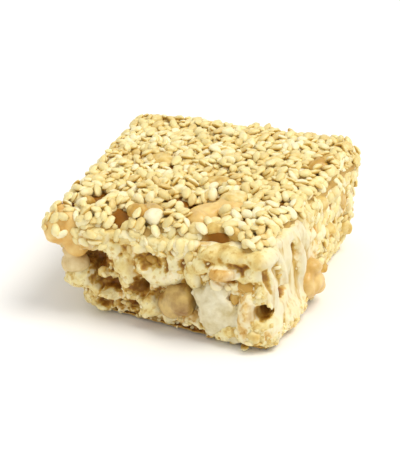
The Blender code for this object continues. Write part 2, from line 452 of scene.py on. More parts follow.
def lump_share(point):
    """How near a point lies to the middle of a glazed lump, 0 at its rim, and its tone."""
    best = (0.0, 0.5)
    for side, place, height, width, tall, _, lean, tone in GLAZED_LUMPS:
        across, above = off_middle(point, side, place, height)
        if math.isinf(across):
            continue
        turn = math.radians(lean)
        along = across * math.cos(turn) + above * math.sin(turn)
        off = above * math.cos(turn) - across * math.sin(turn)
        share = 1.0 - math.hypot(2 * along / width, 2 * off / tall)
        if share > best[0]:
            best = (share, tone)
    return best


def smear_share(point, facing):
    """1 where the knife drew the right side smooth, falling to 0 elsewhere."""
    back = min(1.0, max(0.0, (SMEARED_TO - point.y) / SMEAR_FADE))
    above = min(1.0, max(0.0, (point.z - SMEAR_FOOT) / SMEAR_FADE))
    return back * above * min(1.0, max(0.0, facing.x * 2.0 - 0.6))


def strands(point):
    """Relief of upright drawn threads, from -1 to 1."""
    sway = noise.noise(point / (6.0 * MM)) * 1.2 * MM
    along = Vector(((point.y + sway) / STRAND_WIDTH, point.x / STRAND_LENGTH, point.z / STRAND_LENGTH))
    return noise.noise(along) + 0.4 * noise.noise(along * 2.1)


def tuck(point):
    """How far in a point moves, so that the seeds on the right side don't widen the slab."""
    back = min(1.0, max(0.0, (point.y - TUCKED_FROM) / TUCK_FADE))
    lower = 1.0 + FOOT_TUCK * (1.0 - point.z / cad_high.z)
    return TUCK * back * lower * max(0.0, 2.0 * point.x / cad_high.x - 1.0)


def grit(point, size):
    """Crumbs under the glaze: 1 on top of each and 0 in the joints between them."""
    bent = point / size + noise.noise_vector(point / size * 0.8) * 0.35
    return max(0.0, 1.0 - (noise.voronoi(bent)[0][0] / 0.85) ** 2)


def surface_points(bm, spacing, most, rng, wanted):
    """Points spread over a surface, no nearer to each other than spacing, where wanted says
    so of the point and the way it faces."""
    triangles = [[loop.vert for loop in corners] for corners in bm.calc_loop_triangles()]
    areas = np.cumsum([(b.co - a.co).cross(c.co - a.co).length for a, b, c in triangles])
    chosen = []
    cells = {}
    for _ in range(most * TRIES):
        index = int(np.searchsorted(areas, rng.random() * areas[-1]))
        a, b, c = triangles[min(index, len(triangles) - 1)]
        u, v = rng.random(), rng.random()
        if u + v > 1.0:
            u, v = 1.0 - u, 1.0 - v
        point = a.co + (b.co - a.co) * u + (c.co - a.co) * v
        facing = (a.normal * (1.0 - u - v) + b.normal * u + c.normal * v).normalized()
        if not wanted(point, facing):
            continue
        i, j, k = [int(x // spacing) for x in point]
        near = [(i + across, j + back, k + up) for across in NEXT for back in NEXT for up in NEXT]
        if any((point - other).length < spacing for cell in near for other in cells.get(cell, ())):
            continue
        cells.setdefault((i, j, k), []).append(point)
        chosen.append((point, facing))
        if len(chosen) == most:
            break
    return chosen


def write_share(mesh, name, values):
    """One number for each vertex, which the material reads."""
    mesh.attributes.new(name, "FLOAT", "POINT").data.foreach_set("value", np.asarray(values, float))


def sunk_share(mesh, rounds, deepest):
    """How far each vertex lies below the surface averaged over its neighbourhood: 0.5 when
    level with it, 1 at the deepest and 0 as far above it."""
    count = len(mesh.vertices)
    coords = np.empty(count * 3)
    mesh.vertices.foreach_get("co", coords)
    coords = coords.reshape(-1, 3)
    normals = np.empty(count * 3)
    mesh.vertices.foreach_get("normal", normals)
    ends = np.empty(len(mesh.edges) * 2, np.int32)
    mesh.edges.foreach_get("vertices", ends)
    first, second = ends.reshape(-1, 2).T
    near = np.bincount(first, minlength=count) + np.bincount(second, minlength=count)
    even = coords.copy()
    for _ in range(rounds):
        total = np.empty_like(even)
        for axis in range(3):
            total[:, axis] = np.bincount(first, even[second, axis], count)
            total[:, axis] += np.bincount(second, even[first, axis], count)
        even = 0.3 * even + 0.7 * total / np.maximum(near, 1)[:, None]
    proud = ((coords - even) * normals.reshape(-1, 3)).sum(axis=1)
    return np.clip(0.5 - proud / (2 * deepest), 0.0, 1.0)


noise.seed_set(GRIT_SEED)  # noise_vector follows the clock until it is given a seed
core_low, core_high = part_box("peanut_core")
bm = merged_copy("peanut_core")
core_tree = BVHTree.FromBMesh(bm)
rng = random.Random(CHIP_SEED)


def chip_sits(point, facing):
    """On the cut sides, but neither in the drawn strands nor on a glazed lump."""
    if abs(facing.z) > 0.5 or smear_share(point, facing) > 0.25:
        return False
    return clear_of_lumps(point)


chip_places = surface_points(bm, CHIP_SPACING, CHIPS, rng, chip_sits)
for vert in bm.verts:
    if vert.co.z > core_high.z - LAYER_TOUCH:
        vert.co.z += 2 * LAYER_GAP
    if vert.co.z < core_low.z + LAYER_TOUCH:
        vert.co.z -= 2 * LAYER_GAP
grains = []
toned_places = []
for point, facing in chip_places:
    size = CHIP_HALF[0] + (CHIP_HALF[1] - CHIP_HALF[0]) * rng.random() ** 1.7
    half = Vector((size, size * rng.uniform(0.6, 1.0), size * rng.uniform(0.5, 0.9)))
    sunk = max(size * rng.uniform(*CHIP_SUNK), half.z - CHIP_PROUD)
    place = facing_frame(point - facing * sunk, facing, rng.uniform(0.0, math.pi))
    tilt = Matrix.Rotation(rng.uniform(-0.7, 0.7), 4, "X")
    grains.append(oval(3, half, place @ tilt, rng, CHIP_BREAKS, CHIP_REACH))
    toned_places.append((point, CHIP_DARKEST * rng.random()))
for side, along, height, width, tall, out, lean, tone in GLAZED_LUMPS:
    touched = on_side(core_tree, side, along * MM, max(height * MM, core_low.z + 2 * LAYER_GAP))
    touched.z = height * MM
    half = Vector((width * MM / 2, tall * MM / 2, LUMP_ROOT + out * MM))
    place = facing_frame(touched - side * LUMP_ROOT, side, math.radians(lean))
    grains.append(oval(4, half, place))
    toned_places.append((touched + side * out * MM, tone))
for x, y, z, width, deep, tall, tone in CORNER_LUMPS:
    centre = Vector((x, y, z)) * MM
    grains.append(oval(4, Vector((width, deep, tall)) * MM / 2, Matrix.Translation(centre)))
    toned_places.append((centre, tone))
add_grains(bm, grains)

bm = fused(bm, 1.2 * CORE_VOXEL)
for vert in bm.verts:
    share, side, depth, ragged = pit_share(vert.co)
    bumpy = 1.0 + 0.6 * ragged * noise.noise(vert.co * 1.7 / PIT_RAGS)
    vert.co -= side * depth * MM * min(PIT_LIMIT, PIT_STEEP * share * bumpy)
    vert.co.x -= tuck(vert.co)
bm = fused(bm, CORE_VOXEL)
bm.normal_update()
hidden = []  # the flat faces inside the crusts, each of which one big face can stand for
for face in bm.faces:
    middle = face.calc_center_median().z
    for level in (core_high.z + 2 * LAYER_GAP, core_low.z - 2 * LAYER_GAP):
        if abs(face.normal.z) > 0.97 and abs(middle - level) < 0.5 * CORE_VOXEL:
            hidden.append(face)
bmesh.ops.delete(bm, geom=hidden, context="FACES")
bmesh.ops.holes_fill(bm, edges=[edge for edge in bm.edges if edge.is_boundary], sides=0)
smooth(bm, CORE_SMOOTHING)

tones = KDTree(len(toned_places))
for index, (point, _) in enumerate(toned_places):
    tones.insert(point, index)
tones.balance()
lump_tones, smears, pit_pools_and_shade = [], [], []
for vert in bm.verts:
    smeared = smear_share(vert.co, vert.normal)
    on_wall = 1.0 - min(1.0, abs(vert.normal.z) ** 4)
    nearest = toned_places[tones.find(vert.co)[1]][1]
    lump_tones.append(nearest * (1.0 - smeared) + 0.5 * smeared)
    smears.append(smeared)
    # Painted shade in the pits, darker with depth, partly the dark syrup pooled there.
    share, _, depth, _ = pit_share(vert.co)
    pit_pools_and_shade.append(0.5 + min(1.0, 1.3 * share) * (PIT_POOL_AND_SHADE + PIT_POOL_AND_SHADE_PER_MM * depth))
    glazed, glaze_tone = lump_share(vert.co)
    lump_tones[-1] += (glaze_tone - lump_tones[-1]) * min(1.0, 2.0 * glazed)
    rise = (grit(vert.co, GRIT_SIZE) - 0.6) * GRIT_RISE * (1.0 - 0.8 * max(smeared, glazed))
    rise += strands(vert.co) * STRAND_RISE * smeared
    vert.co += vert.normal * rise * on_wall
    vert.co.z = max(vert.co.z, CORE_FOOT)

# Hard boiled syrup: a hard glossy shell over cloudy cream, clear and dark where it is deep,
# with painted shade in its pits and hollows.
syrup = new_material(
    "hard_boiled_syrup", Roughness=0.44, Specular_IOR_Level=0.3, Subsurface_Weight=0.2,
    Subsurface_Scale=0.9 * MM, Subsurface_Radius=(1.0, 0.8, 0.5), Coat_Weight=0.04, Coat_Roughness=0.22,
)
coords = add_node(syrup, "TexCoord").outputs["Object"]
glaze = toned_colour(syrup, coords, ((2.2 * MM, 5.0, 0.2),), SYRUP_COLOURS)
smear = add_node(syrup, "Attribute", attribute_name="smear").outputs["Fac"]
drawn = add_node(syrup, "MapRange", {0: smear}, {1: 0.0, 2: 1.0, 3: 0.0, 4: DRAWN_SHARE})
# The drawn strands are mixed whiter: partly air drawn into them, partly a painted sheen on the right side.
paler = add_node(
    syrup, "Mix", {0: drawn.outputs[0], 6: glaze}, {7: linear(DRAWN_WHITE_AND_SHEEN_COLOUR)}, data_type="RGBA"
)
fleck = add_node(syrup, "TexNoise", {"Vector": coords}, {"Scale": 1 / (0.9 * MM), "Detail": 4.0})
drawn_out = add_node(syrup, "Mapping", {0: coords}, {3: (1.0, 1.0, 0.12)})
streak = add_node(
    syrup, "TexNoise", {"Vector": drawn_out.outputs[0]}, {"Scale": 1 / (1.1 * MM), "Detail": 3.0}
)
marks = add_node(syrup, "Mix", {0: smear, 2: fleck.outputs["Fac"], 3: streak.outputs["Fac"]})
flecked = add_node(syrup, "MapRange", {0: marks.outputs[0]}, {1: 0.3, 2: 0.7, 3: -0.10, 4: 0.08})
sunk = add_node(syrup, "Attribute", attribute_name="sunk").outputs["Fac"]
deep = add_node(syrup, "Math", {0: sunk, 1: flecked.outputs[0]}, operation="ADD")
finish(
    syrup, with_painted_shade(syrup, paler.outputs[2], deep.outputs[0], RECESS_SHADE_COLOURS), coords,
    0.45 * MM, 0.5, 0.12 * MM,
)

core = add_piece("syrup_core", mesh_of("syrup_core", bm), syrup, "syrup", "peanut_core")
# Painted shade: how far each vertex lies below its neighbourhood, softened on the drawn strands.
hollow = sunk_share(core.data, DEPTH_SPREAD, DEEPEST)
hollow = 0.5 + (hollow - 0.5) * (1.0 - 0.6 * np.array(smears))
write_share(core.data, "tone", lump_tones)
write_share(core.data, "sunk", np.maximum(hollow, pit_pools_and_shade))
write_share(core.data, "smear", smears)


# Large peanuts ------------------------------------------------------------------------
# Halves and big broken pieces of roasted peanut that can be told apart: an orange glazed
# one on the front left corner, a golden one, one cut through to its chalky white flesh.

PEANUT_VOXEL = 0.24 * MM
PEANUT_GRAIN = 2.0 * MM
PEANUT_RISE = 0.22 * MM
WRINKLE = 0.6 * MM
CUT_FACE = -25.9 * MM  # the knife went through one peanut here
CUT_KEPT = 0.3  # and left this share of what stood beyond it
BLUNT_REACH = (0.7, 0.95)
BIT_BREAKS = 5

# Each peanut's two tones, and how rough its face is: glazed ones are smooth.
PEANUT_TONES = {
    "peanut_corner": ("#DCA84E", "#EFD084", 0.48),
    "peanut_pale": ("#D2B270", "#EBD6A0", 0.42),
    "peanut_golden": ("#966C2E", "#D2B266", 0.34),
    "peanut_cut": ("#CFBE8A", "#F4ECCC", 0.66),
    "peanut_proud": ("#D2A858", "#ECCE8A", 0.40),
    "peanut_top_small": ("#B88E3C", "#DDBE74", 0.34),
    "peanut_top_large": ("#D8AC56", "#F0D084", 0.34),
}

# Smaller bits that stuck to a large peanut: centre and full sizes in mm.
PEANUT_BITS = {
    "peanut_corner": ((-17.2, -22.0, 14.8, 5.4, 4.6, 5.4), (-20.4, -20.4, 19.0, 5.6, 6.4, 3.6)),
    "peanut_pale": ((-18.6, -21.6, 12.6, 3.6, 3.4, 3.4), (-16.6, -21.6, 7.6, 4.4, 3.6, 3.0)),
    "peanut_golden": ((4.0, -23.6, 7.0, 7.8, 6.2, 6.8),),
    "peanut_cut": (
        (11.4, -23.8, 10.6, 6.6, 5.0, 4.2),
        (15.9, -24.4, 4.2, 5.0, 4.6, 6.6),
        (8.6, -23.8, 9.6, 4.2, 4.4, 4.0),
        (11.0, -24.0, 3.6, 5.6, 4.4, 4.6),
        (14.2, -24.2, 1.9, 5.0, 4.0, 3.0),
    ),
    "peanut_proud": (
        (22.8, -8.0, 5.4, 4.2, 4.4, 5.6),
        (23.0, -3.4, 3.6, 3.8, 4.0, 3.6),
        (22.9, -5.8, 8.2, 4.2, 4.4, 3.8),
    ),
    "peanut_top_small": ((-3.4, -18.4, 20.8, 4.6, 4.6, 4.0), (-1.4, -20.2, 19.4, 4.4, 3.6, 3.2)),
    "peanut_top_large": ((9.0, -11.0, 20.5, 7.4, 7.6, 4.4), (5.6, -17.2, 20.3, 6.4, 6.0, 4.4)),
}


def peanut_material(name, dark, light, roughness):
    """Roasted peanut: oily and mottled, with a close grain that breaks up its shine."""
    material = new_material(
        name, Roughness=roughness, IOR=1.47, Subsurface_Weight=0.25, Subsurface_Scale=1.2 * MM,
        Subsurface_Radius=(1.0, 0.8, 0.5), Coat_Weight=max(0.0, 0.9 - 1.6 * roughness), Coat_Roughness=0.2,
    )
    coords = add_node(material, "TexCoord").outputs["Object"]
    mottle = add_node(
        material, "TexNoise", {"Vector": coords}, {"Scale": 1 / (2.8 * MM), "Detail": 5.0, "Roughness": 0.55}
    )
    tone = add_node(
        material, "ValToRGB", {0: mottle.outputs["Fac"]}, stops=((0.34, dark), (0.66, light))
    )
    finish(material, tone.outputs[0], coords, 0.4 * MM, 0.35 + 0.4 * roughness, 0.12 * MM)
    return material


rng = random.Random(CHIP_SEED)
for name, (dark, light, roughness) in PEANUT_TONES.items():
    bm = merged_copy(name)
    bits = []
    for x, y, z, width, deep, tall in PEANUT_BITS[name]:
        half = Vector((width, deep, tall)) * MM / 2
        place = Matrix.Translation(Vector((x, y, z)) * MM) @ Matrix.Rotation(rng.uniform(-0.3, 0.3), 4, "Z")
        bits.append(oval(4, half, place, rng, BIT_BREAKS, BLUNT_REACH))
    add_grains(bm, bits)
    bm = fused(bm, PEANUT_VOXEL)
    smooth(bm, 4)
    rough_share = 1.0 + 3.4 * max(0.0, roughness - 0.42) / 0.26
    for vert in bm.verts:
        relief = noise.noise(vert.co / PEANUT_GRAIN) + 0.3 * rough_share * noise.noise(vert.co / WRINKLE) / 2
        vert.co += vert.normal * PEANUT_RISE * rough_share * relief
        if name == "peanut_cut" and vert.co.y < CUT_FACE:
            vert.co.y = CUT_FACE + (vert.co.y - CUT_FACE) * CUT_KEPT
    bm = fused(bm, PEANUT_VOXEL)
    smooth(bm, 1)
    material = peanut_material("roasted_" + name, dark, light, roughness)
    add_piece(name + "_kernel", mesh_of(name + "_kernel", bm), material, "peanut", name)


# Chopped peanut -----------------------------------------------------------------------
# Peanut chopped to 3 to 6 mm, stirred into the hot syrup. The cut sides show where the
# pieces broke: blunt ovals with flat breaks, half sunk, each roasted a little differently.

NUTS = 90
NUT_SPACING = 4.2 * MM
NUT_HALF = (1.1 * MM, 2.5 * MM)
NUT_SUNK = (0.4, 0.9)  # share of its half thickness below the syrup's face
NUT_BREAKS = 6
NUT_REACH = (0.55, 0.9)
NUT_SEED = 31
NUT_ROUGH = (0.10, 0.8)  # how high and how wide the unevenness of a nut is, in mm
NUT_FOOT = 3.4 * MM  # none of them shows lower than this
NUT_COLOURS = ((0.0, "#F7ECC4"), (0.45, "#F0DEA0"), (0.75, "#DEBE6A"), (1.0, "#C4963A"))

# Pieces that can be told apart: side, place along it, height, width, height and how far
# each stands out, all in mm, then its turn in degrees and its tone.
SET_NUTS = (
    (FRONT, 11.6, 12.2, 2.9, 1.9, 0.9, -25, 0.10),
    (FRONT, 13.8, 11.9, 2.0, 1.6, 0.7, 30, 0.40),
    (FRONT, 9.4, 12.8, 2.2, 1.7, 0.7, 40, 0.30),
    (FRONT, 16.9, 12.2, 3.4, 2.6, 0.8, -20, 1.00),
    (FRONT, 14.6, 9.4, 3.2, 3.6, 1.4, 10, 0.95),
    (FRONT, 21.0, 7.2, 1.6, 2.2, 0.6, 0, 1.00),
    (FRONT, -2.1, 13.7, 2.8, 2.0, 0.5, 10, 1.00),
    (FRONT, -12.2, 9.6, 2.4, 1.8, 0.3, 35, 0.70),
    (FRONT, -6.9, 8.8, 2.6, 1.8, 0.5, -30, 0.55),
)

peanut_boxes = [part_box(name) for name in PEANUT_TONES]


def clear_of_peanuts(point, room):
    """False inside the box of a large peanut, grown by room."""
    for low, high in peanut_boxes:
        middle = (low + high) / 2
        if all(abs(point[i] - middle[i]) < (high[i] - low[i]) / 2 + room for i in range(3)):
            return False
    return True


def nut_shows(point, facing):
    """On the cut sides, away from the strands, the glaze, the pits and the large peanuts."""
    if abs(facing.z) > 0.5 or smear_share(point, facing) > 0.3 or point.z < NUT_FOOT:
        return False
    return clear_of_peanuts(point, 0.0) and clear_of_pits(point, 0.7) and clear_of_lumps(point)


def nut_mesh(name, grains, roughness):
    """One mesh of broken nuts, their edges worn and their faces uneven."""
    high, wide = roughness
    bm = bmesh.new()
    add_grains(bm, grains)
    smooth(bm, 2)
    for vert in bm.verts:
        vert.co += vert.normal * high * MM * noise.noise(vert.co / (wide * MM))
    return mesh_of(name, bm)


rng = random.Random(NUT_SEED)
side_bm = merged_copy("peanut_core")
grains, nut_tones = [], []
for point, facing in surface_points(side_bm, NUT_SPACING, NUTS, rng, nut_shows):
    half = Vector([rng.uniform(*NUT_HALF) for _ in range(3)])
    centre = point - facing * max(half.z * rng.uniform(*NUT_SUNK), half.z - CHIP_PROUD)
    tilt = Matrix.Rotation(rng.uniform(-0.5, 0.5), 4, "X")
    place = facing_frame(centre, facing, rng.uniform(0.0, math.pi)) @ tilt
    grains.append(oval(4, half, place, rng, NUT_BREAKS, NUT_REACH))
    nut_tones += [rng.random()] * len(grains[-1][0])
side_bm.free()
made_tree = tree_of(core)
for side, along, height, width, tall, out, turn, tone in SET_NUTS:
    half = Vector((width, tall, tall)) * MM / 2
    centre = on_side(made_tree, side, along * MM, height * MM) + side * (out * MM - half.z)
    place = facing_frame(centre, side, math.radians(turn))
    grains.append(oval(4, half, place, rng, NUT_BREAKS, NUT_REACH))
    nut_tones += [tone] * len(grains[-1][0])

# Chopped peanut, matt on its breaks and lightly glazed, from cream to roasted orange.
chopped = new_material(
    "chopped_roasted_peanut", Roughness=0.46, IOR=1.47, Subsurface_Weight=0.25,
    Subsurface_Scale=1.0 * MM, Subsurface_Radius=(1.0, 0.8, 0.5), Coat_Weight=0.2, Coat_Roughness=0.25,
)
coords = add_node(chopped, "TexCoord").outputs["Object"]
colour = toned_colour(chopped, coords, ((1.4 * MM, 5.0, 0.2),), NUT_COLOURS)
finish(chopped, colour, coords, 0.4 * MM, 0.5, 0.12 * MM)

mesh = nut_mesh("chopped_peanut", grains, NUT_ROUGH)
write_share(mesh, "tone", nut_tones)
add_piece("chopped_peanut", mesh, chopped, "peanut")


# Nut crumb ----------------------------------------------------------------------------
# Splinters and crumbs of peanut, half a millimetre to a millimetre and a half, that the
# knife left stuck on the cut sides.

CRUMBS = 1700
CRUMB_SPACING = 0.80 * MM
CRUMB_HALF = (0.40 * MM, 1.05 * MM)
CRUMB_SHAPES = 6
CRUMB_SEED = 47
CRUMBLY = 6.0 * MM  # the size of the patches that tore, between those that glazed over
CRUMBS_IN_PITS = 0.12  # share of the crumbs in the pits that stay there


def strewn(name, shapes, grains):
    """One mesh of many grains. Each grain is the index of its shape, the matrix that places
    it and its tone. Each vertex also keeps how high it lies in its grain, from 0 to 1."""
    placed, tones, heights = [], [], []
    for index, matrix, tone in grains:
        points, corners = shapes[index]
        turn = np.array(matrix)
        placed.append((points @ turn[:3, :3].T + turn[:3, 3], corners))
        tones.append(np.full(len(points), tone))
        heights.append((points[:, 2] - points[:, 2].min()) / np.ptp(points[:, 2]))
    mesh = joined(name, placed)
    write_share(mesh, "tone", np.concatenate(tones))
    write_share(mesh, "rise", np.concatenate(heights))
    return mesh


rng = random.Random(CRUMB_SEED)
crumb_shapes = []
for _ in range(CRUMB_SHAPES):
    half = Vector((1.0, rng.uniform(0.5, 0.9), rng.uniform(0.3, 0.55)))
    crumb_shapes.append(oval(2, half, Matrix.Identity(4), rng, 6, (0.45, 0.85)))


def crumb_sticks(point, facing):
    """Crumbs lie in patches, closer together low down, and hardly in the pits."""
    if abs(facing.z) > 0.7 or smear_share(point, facing) > 0.4 or lump_share(point)[0] > 0.25:
        return False
    low = 0.4 if point.z < 6.0 * MM or (point.z < 10.0 * MM and point.x < 0.0) else 0.0
    torn = noise.noise(point / CRUMBLY) > -0.12 - low
    return torn and (clear_of_pits(point) or rng.random() < CRUMBS_IN_PITS)


core_bm = bm_of(core.data)
grains = []
for point, facing in surface_points(core_bm, CRUMB_SPACING, CRUMBS, rng, crumb_sticks):
    size = CRUMB_HALF[0] + (CRUMB_HALF[1] - CRUMB_HALF[0]) * rng.random() ** 2
    tilt = Matrix.Rotation(rng.uniform(-0.6, 0.6), 4, "X") @ Matrix.Scale(size, 4)
    centre = point + facing * size * rng.uniform(-0.3, 0.1)
    place = facing_frame(centre, facing, rng.uniform(0.0, math.tau))
    grains.append((rng.randrange(CRUMB_SHAPES), place @ tilt, rng.uniform(0.1, 0.8)))
core_bm.free()
add_piece("nut_crumb", strewn("nut_crumb", crumb_shapes, grains), chopped, "peanut")


# Top crust ----------------------------------------------------------------------------
# A bed of amber syrup with a close layer of hulled sesame pressed into it. The seeds lie
# every way, ride up on each other, and leave small gaps between them, where the syrup
# shows olive brown, darkened with painted shade.

BED_VOXEL = 0.40 * MM
BED_SUNK = 0.3 * MM  # how far the syrup lies below the seeds' tops
BED_SWELL = 0.9 * MM  # how uneven the crust is in broad swells
BED_SWELL_WIDTH = 5.2 * MM
BED_RIPPLE = 0.18 * MM  # and in small ripples
BED_RIPPLE_WIDTH = 1.3 * MM
BARE_RISE = 0.4 * MM  # how far the syrup welled up in a bare spot
BARE_SHADE = 0.22  # how dark the painted shade of the gap is there
BARE_STEEP = 1.6  # how soon a bare spot reaches its full rise and dark from its rim
SEED_HALF = Vector((1.34, 0.88, 0.58)) * MM
SEED_SHAPES = 8
SEED_SIZES = (0.70, 1.14)
SEED_TRIES = 14
TOP_SEEDS = 1655
TOP_SEED = 5
PRESSED = 0.28 * MM  # how far the last pressing pushed each seed down
BARE_RIM = 1.1  # how wide a bare spot stays free of seeds
NUT_PROUD = -0.1 * MM  # no seed lies on a piece of nut that stands out this far
PILED = 1.8 * MM  # a seed that would lie higher over the syrup or nut rolls off
CELL = 0.25 * MM
STEEPEST = 0.65  # the steepest slope that a seed settles to
TOP_TUCK = 0.7  # share of the right side's tuck that the top crust takes
TOP_WILD = 0.28  # how far a seed in the top crust rolls out of true
BED_COLOURS = ((0.0, "#AE8642"), (0.5, "#CCA85F"), (1.0, "#E0C580"))
# Painted shade of the bed, darker the lower it lies between the seeds.
BED_SHADE_COLOURS = ((0.47, "#FFFFFF"), (0.64, "#BA9450"), (0.8, "#9C7236"), (1.0, "#6C4A20"))
SEED_COLOURS = ((0.0, "#E2C880"), (0.25, "#ECD893"), (0.7, "#F2E3A5"), (1.0, "#F9EFC4"))
# Painted shade towards the foot of each seed, partly the syrup that wets it there.
SEED_FOOT_WET_AND_SHADE_COLOURS = ((0.0, "#967236"), (0.30, "#DEC584"), (0.54, "#FFFFFF"))

# Gaps in the seeds where only syrup shows: x, y and half sizes in mm.
BARE_SPOTS = (
    (-15.1, -16.0, 2.6, 3.1),
    (-8.4, -20.7, 2.6, 2.2),
    (-0.6, -13.4, 2.7, 1.7),
    (10.8, -22.2, 2.7, 1.7),
    (18.2, -7.4, 1.5, 3.0),
    (17.6, 4.2, 1.5, 1.8),
    (9.9, 21.6, 2.0, 1.2),
    (-3.0, 4.4, 1.8, 1.2),
    (-15.6, 4.4, 1.8, 2.2),
    (10.3, 5.4, 1.4, 1.6),
    (7.4, 14.6, 1.5, 1.2),
    (-5.6, 17.6, 1.5, 1.2),
    (-7.4, 0.8, 1.2, 1.4),
    (13.6, -16.4, 1.3, 1.6),
    (3.6, -6.8, 2.6, 1.2),
    (-11.6, -9.4, 1.5, 1.2),
    (-19.6, -19.0, 1.6, 1.6),
)

# Flat pieces of nut that show between the seeds: x, y, half sizes and how proud each stands
# in mm, turn in degrees and tone.
CRUST_NUTS = (
    (-10.2, 3.0, 3.4, 2.8, 0.3, 20, 0.74),
    (3.6, -3.0, 3.6, 2.0, 0.3, 20, 0.78),
    (7.2, -3.8, 1.5, 1.2, 0.2, 0, 1.0),
    (18.3, 11.2, 2.3, 2.8, 0.5, 20, 1.0),
    (19.2, 14.6, 1.8, 2.5, 0.4, -20, 0.88),
    (9.2, -9.6, 3.0, 2.4, 0.0, 60, 0.62),
    (-5.6, -19.6, 2.4, 2.0, 0.1, 0, 0.95),
    (-2.2, -20.4, 2.0, 2.0, 0.3, 0, 0.0),
    (-0.8, -18.6, 1.9, 1.3, 0.1, 30, 0.85),
    (9.8, -19.9, 2.7, 1.3, 0.0, 12, 0.80),
    (6.2, -20.6, 1.9, 1.1, 0.2, 35, 0.55),
    (13.4, -20.6, 1.8, 0.9, 0.2, -25, 0.85),
    (-16.9, -17.6, 1.7, 1.2, 0.0, 30, 0.9),
    (2.4, 9.6, 1.8, 1.3, 0.2, 60, 0.5),
    (-6.0, -6.4, 1.7, 1.2, 0.2, 10, 0.4),
    (12.8, 14.6, 1.6, 1.2, 0.2, 120, 0.5),
)
CRUST_NUT_THICK = 1.5 * MM
CRUST_NUT_ROUGH = (0.3, 1.2)


def seed_shape(rng):
    """A hulled sesame seed: a flat drop, blunt at one end and pointed at the other."""
    bm = bmesh.new()
    bmesh.ops.create_uvsphere(bm, u_segments=12, v_segments=6, radius=1.0)
    bmesh.ops.rotate(bm, verts=bm.verts, matrix=Matrix.Rotation(math.pi / 2, 3, "Y"))
    taper = rng.uniform(0.08, 0.30)
    plump = rng.uniform(0.8, 1.2)
    bend = rng.uniform(-0.2, 0.2)
    worn = Vector((plump * 40, taper * 70, 0.0))
    for vert in bm.verts:
        x = vert.co.x
        vert.co.y *= 1.0 - taper * x
        vert.co.z = vert.co.z * plump * (1.0 - 0.5 * taper * x) + bend * x * x
        vert.co *= 1.0 + 0.16 * noise.noise(vert.co * 1.9 + worn)
        vert.co = vert.co * SEED_HALF
    return grain_shape(bm)


def height_grid(trees, low, high):
    """The height of what lies under each cell of the table, seen from above."""
    columns = int((high.x - low.x) / CELL) + 1
    rows = int((high.y - low.y) / CELL) + 1
    heights = np.full((columns, rows), low.z)
    for i in range(columns):
        for j in range(rows):
            start = Vector((low.x + i * CELL, low.y + j * CELL, high.z + PIN_REACH))
            for tree in trees:
                touched = tree.ray_cast(start, -UP)[0]
                if touched:
                    heights[i, j] = max(heights[i, j], touched.z)
    return heights


def slope_frame(centre, slope_x, slope_y, yaw):
    """Lies flat on a slope, turned by yaw."""
    facing = Vector((-slope_x, -slope_y, 1.0)).normalized()
    leaned = UP.rotation_difference(facing).to_matrix().to_4x4()
    return Matrix.Translation(centre) @ leaned @ Matrix.Rotation(yaw, 4, "Z")


def rolled(rng, wild):
    """A seed's own small tilt off the surface that it lies on."""
    roll = Matrix.Rotation(rng.gauss(0.0, wild), 4, "X")
    return roll @ Matrix.Rotation(rng.gauss(0.0, wild * 0.6), 4, "Y")


def settle(heights, low, x, y, yaw, half):
    """Where a seed comes to rest on the heap at x, y: its height and the slope it lies at.
    Also gives the patch of cells that it covers, with its thickness over each."""
    reach = int(half.x / CELL) + 1
    column, row = round((x - low.x) / CELL), round((y - low.y) / CELL)
    columns, rows = heights.shape
    if not (reach <= column < columns - reach and reach <= row < rows - reach):
        return None
    step = np.arange(-reach, reach + 1) * CELL
    across, back = np.meshgrid(step, step, indexing="ij")
    u = (across * math.cos(yaw) + back * math.sin(yaw)) / half.x
    v = (-across * math.sin(yaw) + back * math.cos(yaw)) / half.y
    inside = u * u + v * v < 1.0
    patch = (slice(column - reach, column + reach + 1), slice(row - reach, row + reach + 1))
    under = heights[patch][inside]
    across, back = across[inside], back[inside]
    dip = under - under.mean()
    slope_x = float(np.clip((dip * across).mean() / (across**2).mean(), -STEEPEST, STEEPEST))
    slope_y = float(np.clip((dip * back).mean() / (back**2).mean(), -STEEPEST, STEEPEST))
    thick = half.z * np.sqrt(1.0 - u[inside] ** 2 - v[inside] ** 2)
    plane = slope_x * across + slope_y * back
    rest = float(np.quantile(under + thick - plane, 0.8))
    return rest, slope_x, slope_y, patch, inside, plane + thick


def drop_seeds(count, heights, low, high, rng, allowed):
    """Drops seeds one by one, each into the lowest of a few places, onto the heap that the
    seeds before it left. Gives them as grains for strewing."""
    grains = []
    bare = heights.copy()
    for _ in range(count):
        best = None
        size = rng.uniform(*SEED_SIZES)
        half = SEED_HALF * size
        for _ in range(SEED_TRIES):
            x, y = rng.uniform(low.x, high.x), rng.uniform(low.y, high.y)
            yaw = rng.uniform(0.0, math.tau)
            if not allowed(x, y):
                continue
            found = settle(heights, low, x, y, yaw, half)
            if not found:
                continue
            ground = bare[round((x - low.x) / CELL), round((y - low.y) / CELL)]
            if found[0] <= ground + PILED and (best is None or found[0] < best[0][0]):
                best = (found, x, y, yaw)
        if best is None:
            continue
        (rest, slope_x, slope_y, patch, inside, top), x, y, yaw = best
        rest -= PRESSED
        under = heights[patch]
        under[inside] = np.maximum(under[inside], rest + top)
        lies = slope_frame(Vector((x, y, rest)), slope_x, slope_y, yaw)
        matrix = lies @ rolled(rng, TOP_WILD) @ Matrix.Scale(size, 4)
        grains.append((rng.randrange(SEED_SHAPES), matrix, rng.random()))
    return grains


def in_spot(x, y, spot):
    """0 at the middle of a spot on the crust and 1 at its ragged rim."""
    rag = 1.0 + 0.9 * noise.noise(Vector((x, y, 0.0)) / PIT_RAGS)
    return (((x / MM - spot[0]) / spot[2]) ** 2 + ((y / MM - spot[1]) / spot[3]) ** 2) * rag


def bareness(point):
    """1 in the middle of a bare spot in the crust, falling to 0 at its rim."""
    most = max(1.0 - in_spot(point.x, point.y, spot) for spot in BARE_SPOTS)
    return max(0.0, min(1.0, BARE_STEEP * most))


